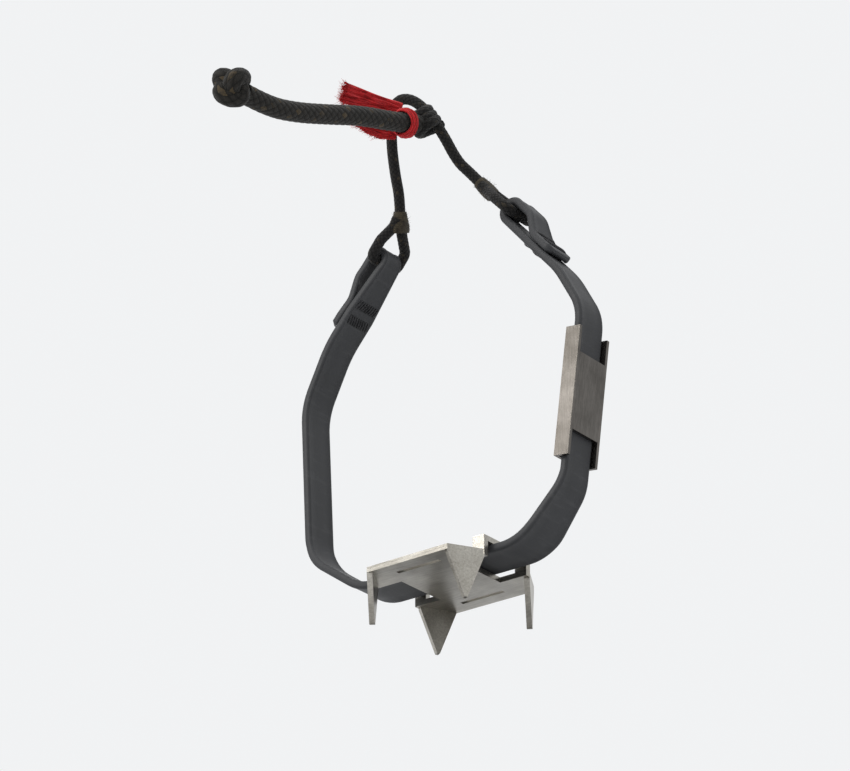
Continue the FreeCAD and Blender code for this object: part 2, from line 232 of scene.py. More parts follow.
def metal(name, dark, pale, rough, brush_scale, grain):
    """Brushed and slightly worn sheet steel."""
    s = Shader(name, Metallic=1.0)
    cloud = s.noise(s.coordinates(), 90.0, 5.0)
    brush = s.noise(s.coordinates(scale=brush_scale), 130.0, 8.0, 0.75)
    scratch = s.noise(s.coordinates(scale=(9, 2, 5)), 210.0, 3.0, 0.8)
    body = s.ramp(cloud, [(0.3, dark), (0.72, pale)])
    streak = s.ramp(brush, [(0.32, (0.62, 0.62, 0.62)), (0.66, (1.05, 1.05, 1.05))])
    worn = s.ramp(s.edges(0.51, 0.58), [(0.0, (1, 1, 1)), (1.0, (1.28, 1.27, 1.25))])
    s.colour(s.mix(1.0, s.mix(1.0, body, streak, "MULTIPLY"), worn, "MULTIPLY"))
    s.roughness(s.span(brush, rough - 0.08, rough + 0.12))
    s.bump([(brush, 0.30, grain), (scratch, 0.14, grain), (cloud, 0.10, grain * 3)])
    return s.material


def rubber():
    """Matte moulded strap with a fine grain, faint scuffs and a painted highlight along its rounded
    edges.
    """
    s = Shader("strap_rubber", Specular_IOR_Level=0.42)
    fine = s.noise(s.coordinates(), 1900.0, 2.0)
    cloud = s.noise(s.coordinates(), 60.0, 6.0, 0.65)
    scuff = s.noise(s.coordinates(scale=(1, 0.15, 1)), 420.0, 5.0, 0.75)
    body = s.ramp(cloud, [(0.3, (0.019, 0.020, 0.022)), (0.75, (0.032, 0.033, 0.036))])
    mark = s.ramp(scuff, [(0.54, (0, 0, 0)), (0.72, (0.016, 0.016, 0.016))])
    # painted highlight: the rounded edges are made paler in the colour, standing in for light
    # catching them
    painted_edge_highlight = s.ramp(s.edges(0.5, 0.62), [(0.0, (0, 0, 0)), (1.0, (0.012, 0.012, 0.013))])
    s.colour(s.mix(1.0, s.mix(1.0, body, mark, "ADD"), painted_edge_highlight, "ADD"))
    s.roughness(s.span(cloud, 0.50, 0.68))
    s.bump([(fine, 0.30, 0.00006), (scuff, 0.12, 0.00006), (cloud, 0.10, 0.0003)])
    return s.material


def braid_pattern(s):
    """Crossing strands from a tube's UV map: their height, their yarns, and which show a tracer."""
    uv = s.coordinates("UV", (STRANDS, STRANDS, 1))
    split = s.node("ShaderNodeSeparateXYZ")
    s.link(uv, split.inputs["Vector"])

    def math_node(operation, *values):
        node = s.node("ShaderNodeMath", operation=operation)
        for place, value in enumerate(values):
            if isinstance(value, (int, float)):
                node.inputs[place].default_value = value
            else:
                s.link(value, node.inputs[place])
        return node.outputs[0]

    right = math_node("ADD", split.outputs["X"], split.outputs["Y"])
    left = math_node("SUBTRACT", split.outputs["X"], split.outputs["Y"])
    crossing = math_node(
        "MULTIPLY",
        math_node("SINE", math_node("MULTIPLY", right, math.pi)),
        math_node("SINE", math_node("MULTIPLY", left, math.pi)),
    )
    height = math_node("POWER", math_node("ABSOLUTE", crossing), 0.5)
    on_top = math_node("GREATER_THAN", crossing, 0.0)
    yarn_right = math_node("SINE", math_node("MULTIPLY", right, YARNS * math.pi))
    yarn_left = math_node("SINE", math_node("MULTIPLY", left, YARNS * math.pi))
    yarn = math_node(
        "ADD",
        math_node("MULTIPLY", yarn_right, on_top),
        math_node("MULTIPLY", yarn_left, math_node("SUBTRACT", 1.0, on_top)),
    )
    strand = math_node("FLOOR", right)
    every_fourth = math_node("LESS_THAN", math_node("FLOORED_MODULO", strand, 4.0), 0.5)
    return height, s.span(yarn, 0.0, 1.0), math_node("MULTIPLY", every_fourth, on_top)


def braided(name, dark, pale, tracer):
    """Braided cord: crossing strands of several yarns, painted shade in the hollows between
    strands, a worn tracer, and fibre grain.
    """
    sheen = {"Sheen_Weight": 0.08, "Sheen_Roughness": 0.5}
    s = Shader(name, Roughness=0.85, Specular_IOR_Level=0.22, **sheen)
    height, yarn, marked = braid_pattern(s)
    fibre = s.noise(s.coordinates(), 3200.0, 4.0)
    worn = s.ramp(s.noise(s.coordinates(), 420.0, 3.0), [(0.42, (0, 0, 0)), (0.56, (1, 1, 1))])
    # painted shade: the hollows between strands take the dark colour and the raised crowns the pale
    # one
    body = s.ramp(height, [(0.1, dark), (0.95, pale)])
    tint = s.node("ShaderNodeRGB")
    tint.outputs[0].default_value = (*tracer, 1)
    share = s.node("ShaderNodeMath", operation="MULTIPLY")
    s.link(marked, share.inputs[0])
    s.link(worn, share.inputs[1])
    strand = s.mix(share.outputs[0], body, tint.outputs[0])
    grain = s.ramp(fibre, [(0.25, (0.65, 0.65, 0.65)), (0.75, (1.2, 1.2, 1.2))])
    s.colour(s.mix(1.0, strand, grain, "MULTIPLY"))
    s.bump([(height, 0.5, 0.0003), (yarn, 0.4, 0.00012), (fibre, 0.35, 0.0001)])
    return s.material


def thread(name, dark, pale):
    """Waxed thread: fibre grain and uneven colour."""
    s = Shader(name, Roughness=0.8, Specular_IOR_Level=0.25, Sheen_Weight=0.1)
    cloud = s.noise(s.coordinates(), 700.0, 4.0, 0.7)
    fibre = s.noise(s.coordinates(), 4000.0, 3.0)
    s.colour(s.ramp(cloud, [(0.3, dark), (0.72, pale)]))
    s.roughness(s.span(fibre, 0.7, 0.9))
    s.bump([(fibre, 0.4, 0.0001), (cloud, 0.3, 0.0002)])
    return s.material


def woven(name, dark, pale, scale):
    """Plain-weave cloth with a fuzzy surface, creases along it, and painted highlights and painted
    shade along the creases.
    """
    s = Shader(name, Roughness=0.85, Specular_IOR_Level=0.2, Sheen_Weight=0.06, Sheen_Roughness=0.4)
    warp = s.node("ShaderNodeTexWave", bands_direction="X", Scale=scale, Distortion=1.5)
    weft = s.node("ShaderNodeTexWave", bands_direction="Y", Scale=scale, Distortion=1.5)
    vector = s.coordinates("UV")
    s.link(vector, warp.inputs["Vector"])
    s.link(vector, weft.inputs["Vector"])
    cross = s.node("ShaderNodeMath", operation="MULTIPLY")
    s.link(warp.outputs["Fac"], cross.inputs[0])
    s.link(weft.outputs["Fac"], cross.inputs[1])
    cloud = s.noise(s.coordinates(), 260.0, 5.0, 0.7)
    fibre = s.noise(s.coordinates(), 3600.0, 3.0)
    body = s.ramp(cloud, [(0.28, dark), (0.72, pale)])
    weave = cross.outputs[0]
    threads = s.ramp(weave, [(0.0, (0.72, 0.72, 0.72)), (0.6, (1.1, 1.1, 1.1))])
    creases = s.noise(s.coordinates("UV", (22, 1.3, 1)), 1.0, 3.0, 0.6)
    # painted shade in the creases' hollows and a painted pale pink highlight on their ridges
    shades = [(0.36, (0.45, 0.40, 0.40)), (0.50, (0.95, 1.0, 1.0)), (0.66, (1.2, 3.6, 3.4))]
    crease_highlight_and_shade = s.ramp(creases, shades)
    s.colour(s.mix(1.0, s.mix(1.0, body, threads, "MULTIPLY"), crease_highlight_and_shade, "MULTIPLY"))
    heights = [(creases, 0.5, 0.0005), (weave, 0.5, 0.00022)]
    s.bump(heights + [(fibre, 0.4, 0.00012), (cloud, 0.3, 0.0006)])
    return s.material


def floor_material():
    """A pale floor that shows only from above."""
    s = Shader("pale_floor", Roughness=0.9)
    vector = s.coordinates()
    cloud = s.noise(vector, 4.0, 2.0)
    s.colour(s.ramp(cloud, [(0.0, (0.60, 0.61, 0.62)), (1.0, (0.65, 0.65, 0.66))]))
    clear = s.node("ShaderNodeBsdfTransparent")
    side = s.node("ShaderNodeNewGeometry")
    both = s.node("ShaderNodeMixShader")
    s.link(side.outputs["Backfacing"], both.inputs["Fac"])
    s.link(s.base.outputs["BSDF"], both.inputs[1])
    s.link(clear.outputs["BSDF"], both.inputs[2])
    s.link(both.outputs["Shader"], s.tree.nodes["Material Output"].inputs["Surface"])
    return s.material


ALONG_X = (1, 14, 14)
ALONG_Z = (14, 14, 1)
PALE_STEEL = ((0.28, 0.265, 0.235), (0.45, 0.435, 0.40))
DARK_STEEL = ((0.085, 0.078, 0.070), (0.15, 0.14, 0.13))
STEEL = metal("spike_steel", *PALE_STEEL, 0.30, ALONG_X, 0.00005)
BUCKLE_STEEL = metal("buckle_steel", *DARK_STEEL, 0.36, ALONG_Z, 0.00004)
RUBBER = rubber()
# for the cords the first two colours are the painted shade in the braid's hollows and its paler
# crowns
CORD = braided("thin_cord", (0.002, 0.002, 0.002), (0.014, 0.013, 0.012), (0.035, 0.028, 0.018))
PULL = braided("pull_cord", (0.003, 0.003, 0.002), (0.020, 0.018, 0.015), (0.060, 0.044, 0.024))
THREAD = thread("whip_thread", (0.010, 0.008, 0.005), (0.060, 0.048, 0.028))
STITCH = thread("seam_thread", (0.010, 0.010, 0.011), (0.045, 0.045, 0.048))
RED = woven("red_cloth", (0.42, 0.008, 0.010), (0.76, 0.024, 0.028), 9.0)


# ---------------------------------------------------------------- mesh helpers


def new_piece(name, points, faces, material, body, uvs=None):
    """A mesh piece from millimetre points, riding on a CAD body unless that is None."""
    mesh = bpy.data.meshes.new(name)
    mesh.from_pydata([tuple(Vector(p) * MM) for p in points], [], faces)
    mesh.materials.append(material)
    if uvs:
        layer = mesh.uv_layers.new(name="UVMap")
        for polygon, corners in zip(mesh.polygons, uvs):
            for loop, uv in zip(polygon.loop_indices, corners):
                layer.data[loop].uv = uv
    for polygon in mesh.polygons:
        polygon.use_smooth = True
    mesh.validate()
    mesh.update()
    piece = bpy.data.objects.new(name, mesh)
    bpy.context.collection.objects.link(piece)
    if body:
        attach(piece, body)
    return piece


def loft(rings, closed=False, uv_scale=(1.0, 1.0), caps=(True, True)):
    """Faces and UVs that join equal rings of points, with a cap on each end that asks for one."""
    count = len(rings[0])
    points = [p for ring in rings for p in ring]
    along = [0.0]
    for first, second in zip(rings, rings[1:]):
        middle = sum(first, Vector()) / count
        following = sum(second, Vector()) / count
        along.append(along[-1] + (following - middle).length)
    faces = []
    uvs = []
    spans = len(rings) if closed else len(rings) - 1
    for row in range(spans):
        below = row * count
        above = (row + 1) % len(rings) * count
        v0 = along[row] * uv_scale[1]
        v1 = (along[row + 1] if row + 1 < len(rings) else along[row]) * uv_scale[1]
        for k in range(count):
            n = (k + 1) % count
            faces.append((below + k, below + n, above + n, above + k))
            u0 = k / count * uv_scale[0]
            u1 = (k + 1) / count * uv_scale[0]
            uvs.append(((u0, v0), (u1, v0), (u1, v1), (u0, v1)))
    if caps[0] and not closed:
        faces.append(tuple(range(count - 1, -1, -1)))
        uvs.append(tuple((0.0, 0.0) for _ in range(count)))
    if caps[1] and not closed:
        last = (len(rings) - 1) * count
        faces.append(tuple(range(last, last + count)))
        uvs.append(tuple((0.0, 0.0) for _ in range(count)))
    return points, faces, uvs


def smooth_line(points):
    """Points along the smooth NURBS curve that a route controls, in millimetres."""
    data = bpy.data.curves.new("route", "CURVE")
    data.dimensions = "3D"
    spline = data.splines.new("NURBS")
    spline.points.add(len(points) - 1)
    for knot, place in zip(spline.points, points):
        knot.co = (*place, 1)
    spline.order_u = 3
    spline.use_endpoint_u = True
    spline.resolution_u = 16
    holder = bpy.data.objects.new("route", data)
    mesh = bpy.data.meshes.new_from_object(holder)
    line = [v.co.copy() for v in mesh.vertices]
    bpy.data.objects.remove(holder)
    bpy.data.curves.remove(data)
    bpy.data.meshes.remove(mesh)
    return line


def line_length(line):
    return sum((b - a).length for a, b in zip(line, line[1:]))


def evenly(line, step, closed=False):
    """The same line with points about a step apart."""
    loop = line + [line[0]] if closed else line
    total = line_length(loop)
    count = max(2, round(total / step))
    out = [loop[0].copy()]
    target = total / count
    walked = 0.0
    for a, b in zip(loop, loop[1:]):
        run = (b - a).length
        while run > 0 and walked + run >= target * len(out) - 1e-9 and len(out) <= count:
            out.append(a.lerp(b, (target * len(out) - walked) / run))
        walked += run
    return out[:count] if closed else out[: count + 1]


def frames(line, closed=False):
    """A tangent and two cross directions at each point, carried along without twisting."""
    count = len(line)
    tangents = []
    for k in range(count):
        before = line[(k - 1) % count] if closed or k > 0 else line[k]
        after = line[(k + 1) % count] if closed or k < count - 1 else line[k]
        tangents.append((after - before).normalized())
    side = tangents[0].orthogonal().normalized()
    result = []
    for tangent in tangents:
        side = (side - tangent * side.dot(tangent)).normalized()
        result.append((tangent, side, tangent.cross(side)))
    return result


BRAID_RELIEF = 0.05  # how far its strands stand up, as a share of a cord's radius
BRAID_PITCH = 3.6  # a strand's full turn, in cord diameters


def cord_tube(name, line, diameter, material, taper=None, closed=False):
    """A braided cord as a mesh along a line in millimetres, riding on the instep body."""
    sides = 5 * STRANDS
    pitch = diameter * BRAID_PITCH
    line = evenly(line, pitch / STRANDS / 6, closed)
    rings = []
    walked = 0.0
    for k, (place, (_, side, up)) in enumerate(zip(line, frames(line, closed))):
        if k:
            walked += (place - line[k - 1]).length
        scale = taper(k / (len(line) - 1)) if taper else 1.0
        ring = []
        for j in range(sides):
            angle = 2 * math.pi * j / sides
            u = STRANDS * j / sides
            v = STRANDS * walked / pitch
            crossing = math.sin(math.pi * (u + v)) * math.sin(math.pi * (u - v))
            raised = 1 - BRAID_RELIEF / 2 + BRAID_RELIEF * math.sqrt(abs(crossing))
            radius = diameter / 2 * scale * raised
            ring.append(place + (side * math.cos(angle) + up * math.sin(angle)) * radius)
        rings.append(ring)
    points, faces, uvs = loft(rings, closed, (1.0, 1 / pitch))
    cord = new_piece(name, points, faces, material, "instep", uvs)
    return cord


def fuzz(name, roots, material, body, seed, length, thick):
    """Short loose fibres; roots are (place, direction) pairs."""
    rng = random.Random(seed)
    points = []
    faces = []
    for place, direction in roots:
        stray = Vector([rng.uniform(-1, 1) for _ in range(3)])
        way = (direction + stray * 0.55).normalized()
        curl = Vector([rng.uniform(-1, 1) for _ in range(3)]) * 0.5
        long = rng.uniform(*length)
        side = way.orthogonal().normalized()
        up = way.cross(side)
        base = len(points)
        steps = 4
        for k in range(steps + 1):
            t = k / steps
            centre = place + way * long * t + curl * long * t * t * 0.5
            radius = thick * (1 - 0.7 * t)
            for j in range(3):
                angle = 2 * math.pi * j / 3
                points.append(centre + (side * math.cos(angle) + up * math.sin(angle)) * radius)
        for k in range(steps):
            for j in range(3):
                n = (j + 1) % 3
                a = base + 3 * k
                faces.append((a + j, a + n, a + 3 + n, a + 3 + j))
        faces.append((base + 2, base + 1, base))
        last = base + 3 * steps
        faces.append((last, last + 1, last + 2))
    return new_piece(name, points, faces, material, body)


# ---------------------------------------------------------------- the strap

STRAP_THICK = 2.2
STRAP_Z = 2.8
STRAP_BROAD = 14.0
STRAP_SLIM = 10.5
EYE_WIDE = 7.0
BEND = 14.0
FLAT_END = 21.2
EYE = Vector((23.5, 0, 102.0))
EYE_BEND = 2.9
LAYER = STRAP_THICK + 0.1
SEAM_START = -6.5
SEAM_CLOSED = -13.0
STRAP_END = -22.0
SEAM_BEND = 5.0
STITCHES_AT = -15.5
STRAP_WIDTHS = [(6, STRAP_BROAD), (20, STRAP_SLIM), (88, STRAP_SLIM), (101, EYE_WIDE)]
CHANNEL_DEEP = 0.14
EDGE_ROUND = 0.75


def rounded(points, radii, step=0.6):
    """Points along straight runs joined by arcs."""
    line = [points[0]]
    for before, here, after, radius in zip(points, points[1:], points[2:], radii):
        back = (before - here).normalized()
        on = (after - here).normalized()
        turn = math.pi - back.angle(on)
        reach = radius * math.tan(turn / 2)
        centre = here + (back + on).normalized() * (radius / math.cos(turn / 2))
        start = here + back * reach - centre
        axis = start.cross(here + on * reach - centre).normalized()
        steps = max(3, math.ceil(radius * turn / step))
        for k in range(steps + 1):
            line.append(centre + Quaternion(axis, turn * k / steps) @ start)
    line.append(points[-1])
    return evenly(line, step)


def side_line(low, high, neck, bends):
    """The middle of the strap from under the plate to the end of its sewn eye."""
    rise = math.atan2(low.z - STRAP_Z, low.x - FLAT_END)
    for _ in range(60):
        bend_end = Vector((FLAT_END, 0, STRAP_Z + BEND))
        bend_end += Vector((math.sin(rise), 0, -math.cos(rise))) * BEND
        rise = math.atan2(low.z - bend_end.z, low.x - bend_end.x)
    corner = Vector((FLAT_END + BEND * math.tan(rise / 2), 0, STRAP_Z))
    span = EYE - neck
    lean = math.asin(EYE_BEND / span.length)
    way = (Quaternion((0, -1, 0), lean) @ span).normalized()
    out = Vector((way.z, 0, -way.x))

    def by_eye(along, outward):
        return EYE + way * along + out * outward

    points = [Vector((0, 0, STRAP_Z)), corner, low, high, neck]
    points += [by_eye(EYE_BEND, -EYE_BEND), by_eye(EYE_BEND, EYE_BEND)]
    points += [by_eye(SEAM_START, EYE_BEND), by_eye(SEAM_CLOSED, LAYER - EYE_BEND)]
    points += [by_eye(STRAP_END, LAYER - EYE_BEND)]
    return rounded(points, [BEND, *bends, EYE_BEND, EYE_BEND, SEAM_BEND, SEAM_BEND]), way, out


def between(marks, place):
    """A value read at a place, in a straight line between (place, value) marks."""
    for (a0, v0), (a1, v1) in zip(marks, marks[1:]):
        if place <= a1:
            return v0 + (v1 - v0) * (place - a0) / (a1 - a0)
    return marks[-1][1]


def strap_width(z):
    """The strap narrows above the plate, and again at its eye."""
    if z <= STRAP_WIDTHS[0][0]:
        return STRAP_WIDTHS[0][1]
    return between(STRAP_WIDTHS, z)


def strap_section(width):
    """A flat band with rounded edges and a shallow channel on each face."""
    half = width / 2
    thick = STRAP_THICK / 2
    outline = []
    for sign_y, sign_t, start in ((1, 1, 0), (-1, 1, 90), (-1, -1, 180), (1, -1, 270)):
        for k in range(5):
            angle = math.radians(start + 22.5 * k)
            y = sign_y * (half - EDGE_ROUND) + EDGE_ROUND * math.cos(angle)
            t = sign_t * (thick - EDGE_ROUND) + EDGE_ROUND * math.sin(angle)
            outline.append((y, t))
        if start in (0, 180):
            for share in (0.82, 0.76, 0.4, -0.4, -0.76, -0.82):
                dip = 0.0 if abs(share) > 0.8 else CHANNEL_DEEP
                flat = thick - dip if start == 0 else -thick + dip
                outline.append((share * half if start == 0 else -share * half, flat))
    return outline


def mirror_x(v, side):
    return Vector((v.x * side, v.y, v.z))


def strap(name, line, side):
    """A strap as one mesh from the sole to its eye; side is 1 on the buckle's side, else -1."""
    rings = []
    count = len(line)
    for k, place in enumerate(line):
        before = line[max(k - 1, 0)]
        after = line[min(k + 1, count - 1)]
        tangent = (after - before).normalized()
        out = Vector((tangent.z, 0, -tangent.x))
        shrink = min(1.0, 0.72 + 0.28 * (count - 1 - k) / 2)
        ring = []
        for y, t in strap_section(strap_width(place.z)):
            point = place + Vector((0, y * shrink, 0)) + out * t * shrink
            ring.append(mirror_x(point, side))
        rings.append(ring[::side])
    points, faces, uvs = loft(rings, False, (4.0, 0.05), (False, True))
    piece = new_piece(name, points, faces, RUBBER, None, uvs)
    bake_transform(piece)
    return piece


def stitches(name, way, out, side, body):
    """A bar of close thread across the two sewn layers, on both faces."""
    rng = random.Random(11)
    middle = EYE + way * STITCHES_AT + out * (-EYE_BEND + LAYER / 2)
    points = []
    faces = []
    width = STRAP_SLIM - 2.2
    level = LAYER / 2 + STRAP_THICK / 2 + 0.14
    count = 9
    for face in (1, -1):
        for shift, tilt in ((-2.4, -0.35), (2.4, 0.35)):
            for k in range(count):
                y = -width / 2 + width * (k + 0.5) / count + rng.uniform(-0.08, 0.08)
                stitch = []
                for t in (-1, -0.55, 0, 0.55, 1):
                    dip = 0.28 * (t * t)
                    along = way * (shift + t * 1.25) + out * face * (level - dip)
                    stitch.append(middle + along + Vector((0, y + tilt * t, 0)))
                rings = []
                for place, (_, a, b) in zip(stitch, frames(stitch)):
                    angles = [math.pi / 3 * j for j in range(6)]
                    ring = [place + (a * math.cos(q) + b * math.sin(q)) * 0.3 for q in angles]
                    rings.append([mirror_x(p, side) for p in ring][::side])
                part, joined, _ = loft(rings)
                faces += [tuple(i + len(points) for i in f) for f in joined]
                points += part
    piece = new_piece(name, points, faces, STITCH, body)


def make_strap(label, side, body, corners, bends):
    """One half of the strap with its stitching; corners are (x, z) low, high and at its neck."""
    line, way, out = side_line(*[Vector((x, 0, z)) for x, z in corners], bends)
    piece = strap("strap_" + label, line, side)
    stitches("eye_stitches_" + label, way, out, side, body)
    return piece


def make_straps():
    outer_corners = [(40.0, 17.0), (46.6, 65.0), (39.5, 78.5)]
    outer = make_strap("outer", 1, "lateral", outer_corners, [12.0, 14.0, 30.0])
    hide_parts("lateral_strap", "sole_strap")
    inner_corners = [(45.0, 16.5), (47.6, 63.0), (39.5, 79.5)]
    inner = make_strap("inner", -1, "medial", inner_corners, [14.0, 20.0, 30.0])
    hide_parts("medial_strap")


# ---------------------------------------------------------------- cords

CORD_DIA = 3.0
PULL_DIA = 5.4
ROUTE_INSTEP = [
    (14.6, -2.4, 112.0),
    (11.0, -5.0, 117.2),
    (8.8, -8.0, 120.3),
    (6.7, -12.5, 128.9),
    (1.4, -17.0, 138.8),
    (-5.5, -18.5, 140.1),
    (-9.8, -14.0, 131.0),
    (-12.4, -8.8, 123.0),
    (-13.6, -5.0, 117.2),
    (-15.6, -2.4, 111.6),
]
ROUTE_PULL = [
    (3.0, -18.5, 129.3),
    (2.2, -28.0, 126.0),
    (1.6, -41.0, 122.2),
    (0.8, -54.0, 116.8),
    (0.4, -67.0, 111.6),
    (0.0, -78.0, 108.6),
    (-0.2, -87.0, 108.4),
]
WHIP_LONG = 6.0
BAIL_LEG = 5.5
BAIL_BENDS = [2.0, 2.4, 1.7, 1.7, 2.4, 2.0]
HITCH = Vector((3.2, -15.8, 131.4))
KNOT_BEYOND = 4.6
KNOT_SPREAD = 1.12
KNOT_DEEP = 2.1
KNOT_CORD_DIA = 4.9


def make_pull_cord():
    """The thick braided cord and the knot that ends it."""
    line = smooth_line(ROUTE_PULL)
    cord = cord_tube("pull_cord_braid", line, PULL_DIA, PULL)
    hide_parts("pull_cord")
    knot = make_stopper_knot(line)
    return line


def make_stopper_knot(line):
    """An overhand knot pulled tight, as a closed turn with three lobes."""
    way = (line[-1] - line[-2]).normalized()
    centre = line[-1] + way * KNOT_BEYOND
    side = way.cross(Vector((0, 0, 1))).normalized()
    up = side.cross(way)
    turns = 72
    path = []
    for k in range(turns):
        a = 2 * math.pi * k / turns
        x = math.sin(a) + 2 * math.sin(2 * a)
        y = math.cos(a) - 2 * math.cos(2 * a)
        flat = side * x * KNOT_SPREAD + up * y * KNOT_SPREAD
        path.append(centre + flat + way * -math.sin(3 * a) * KNOT_DEEP)
    knot = cord_tube("stopper_knot_turns", path, KNOT_CORD_DIA, PULL, closed=True)
    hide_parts("stopper_knot")
    return knot


def bail_line(side, target):
    """The cord's end through the eye of one strap and back to its whipping."""
    start = Vector((side * EYE.x, 0, EYE.z))
    way = (target - start).normalized()
    end = target - way * (WHIP_LONG / 2 - 1)
    leg = Vector((way.x, 0, way.z)).normalized() * BAIL_LEG
    reach = EYE_WIDE / 2 + CORD_DIA / 2 + 0.5
    across = Vector((0, 1, 0))
    near = CORD_DIA / 2 + 0.15
    inside = end + way * 2.6
    middles = [(inside, near), (end, near), (start + leg, reach), (start, reach)]
    points = [middle - across * apart for middle, apart in middles]
    points += [middle + across * apart for middle, apart in middles[::-1]]
    return rounded(points, BAIL_BENDS, 0.3)


def make_whipping(name, place, way):
    """Close turns of thread, wide over the two parts of the bail and narrow on the single cord."""
    side = Vector((0, 1, 0))
    side = (side - way * side.dot(way)).normalized()
    up = way.cross(side)
    rows = 96
    turns = 12
    rings = []
    for k in range(rows + 1):
        t = k / rows
        centre = place + way * WHIP_LONG * (t - 0.5)
        narrowing = t * t * (3 - 2 * t)
        full = 0.86 + 0.14 * math.sin(math.pi * t) ** 0.5
        wide = (3.5 - 1.45 * narrowing) * full
        thick = (2.15 - 0.15 * narrowing) * full
        ring = []
        for j in range(36):
            angle = 2 * math.pi * j / 36
            raised = 0.97 + 0.05 * abs(math.sin(math.pi * (turns * t - j / 36)))
            across = side * math.cos(angle) * wide * raised
            ring.append(centre + across + up * math.sin(angle) * thick * raised)
        rings.append(ring)
    points, faces, uvs = loft(rings, False, (1.0, 0.25))
    piece = new_piece(name, points, faces, THREAD, "instep", uvs)
    rng = random.Random(len(name))
    roots = []
    for _ in range(46):
        ring = rings[rng.randrange(2, rows - 2)]
        root = ring[rng.randrange(len(ring))]
        roots.append((root, (root - place).normalized()))
    hair = fuzz(name + "_fuzz", roots, THREAD, "instep", 5, (0.4, 1.1), 0.045)
    return piece


def make_instep_cord():
    """The thin cord over the instep, with its bails and whippings."""
    line = smooth_line(ROUTE_INSTEP)
    cord = cord_tube("instep_cord_braid", line, CORD_DIA, CORD)
    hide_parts("instep_cord")
    for label, node, side, (here, there) in (
        ("outer", "lateral", 1, ROUTE_INSTEP[:2]),
        ("inner", "medial", -1, ROUTE_INSTEP[:-3:-1]),
    ):
        target = Vector(here)
        bail = cord_tube(f"bail_{label}", bail_line(side, target), CORD_DIA, CORD)
        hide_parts(node + "_bail")
        way = (Vector(there) - target).normalized()
        whip = make_whipping(f"whipping_{label}", target, way)
        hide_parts(node + "_whipping")
    return line


def make_hitch(instep, pull):
    """Turns of cord round the instep cord, with the pull cord's end tucked between them."""
    nearest = min(range(1, len(instep) - 1), key=lambda k: (instep[k] - HITCH).length)
    way = (instep[nearest + 1] - instep[nearest - 1]).normalized()
    side = (instep[nearest] - HITCH).normalized()
    side = (side - way * side.dot(way)).normalized()
    up = way.cross(side)
    path = []
    turns = 3.4
    steps = 120
    for k in range(steps + 1):
        t = k / steps
        angle = 2 * math.pi * turns * t
        reach_side = 3.1 + 0.3 * math.sin(2 * angle + 0.5)
        reach_up = 2.5 + 0.2 * math.sin(3 * angle)
        lift = (t - 0.5) * 6.4 + 0.7 * math.sin(angle)
        place = HITCH + way * lift + side * math.cos(angle) * reach_side
        path.append(place + up * math.sin(angle) * reach_up)
    coil = cord_tube("hitch_turns", path, CORD_DIA, CORD)
    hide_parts("cord_hitch")
    first = pull[0]
    into = (HITCH - first).normalized()
    root = [first - into * 1.0, first + into * 1.2, first + into * 2.6]
    cord_tube("pull_cord_root", root, PULL_DIA, PULL, taper=lambda t: 1.0 - 0.3 * t * t)


# ---------------------------------------------------------------- the red tab

TAB_AT = 5.0
TAIL_OUT = 4.1
LONG_TAIL_UP = 3.8
SHORT_TAIL_DOWN = 2.8
TAIL_ROLL = -20.6
TAIL_TILT = -67.8
# a tail's half width at distances from its root
LONG_TAIL = [(0, 2.0), (9, 2.3), (18, 2.8)]
SHORT_TAIL = [(0, 1.6), (4.5, 2.6), (9, 2.3), (12.5, 1.0)]


def tail_rows(marks, rng):
    """A strip folded double and crumpled: rows of points running to its torn end."""
    phase = rng.uniform(0, 6)
    long = marks[-1][0]
    columns = 41
    count = round(long * 4)
    tear = [rng.uniform(-1.1, 0.6) for _ in range(columns)]
    rows = []
    for k in range(count + 1):
        t = k / count
        along = long * t
        half = between(marks, along)
        opening = 0.34 + 0.42 * t * t
        row = []
        for j in range(columns):
            q = 2 * j / (columns - 1) - 1
            across = half * (1 - 2 * abs(q))
            layer = math.copysign(min(1.0, abs(q) / 0.1), q) * opening
            crease = 0.26 * math.sin(9.0 * q + phase + 1.5 * t) * min(1, 4 * t)
            bow = 0.30 * math.sin(2.6 * across / half + phase) * (0.3 + t)
            gather = 0.24 * math.sin(26 * abs(q) + 2.5 * t + phase)
            gather *= min(1, 3 * t) * (1 - abs(q) ** 6)
            ragged = 0.15 * math.sin(8 * along + 5 * q) * abs(q) ** 8
            away = layer + crease + bow + gather
            row.append(Vector((across + ragged, tear[j] * t**10 - along, away)))
        rows.append(row)
    return rows


def wrap_rows(centre, way):
    """The strip taken once round the cord between its tails, pulled into creases."""
    side = way.orthogonal().normalized()
    up = way.cross(side)
    columns = 25
    count = 80
    rows = []
    for k in range(count + 1):
        around = 2 * math.pi * k / count
        radial = side * math.cos(around) + up * math.sin(around)
        row = []
        for j in range(columns):
            q = 2 * j / (columns - 1) - 1
            pleat = 0.26 * math.sin(10 * q + 1.2 * math.sin(2 * around))
            pleat += 0.12 * math.sin(23 * q + 3 * around)
            out = PULL_DIA / 2 + 0.62 + 0.48 * (1 - q * q) + pleat * (1 - q**4)
            narrow = 1.75 + 0.28 * math.sin(2 * around + 0.7)
            row.append(centre + radial * out + way * q * narrow)
        rows.append(row)
    return rows


def grid_faces(rows, first):
    """The faces and UVs of a grid of rows whose points start at a number."""
    columns = len(rows[0])
    faces = []
    uvs = []
    for k in range(len(rows) - 1):
        for j in range(columns - 1):
            a = first + k * columns + j
            faces.append((a, a + 1, a + columns + 1, a + columns))
            corners = ((j, k), (j + 1, k), (j + 1, k + 1), (j, k + 1))
            uvs.append(tuple((across / columns * 1.6, along / 24) for across, along in corners))
    return faces, uvs


def grid_width(rows):
    """How wide the rows are laid flat, at most and on average."""
    widths = [line_length(row) for row in rows]
    return max(widths), sum(widths) / len(widths)


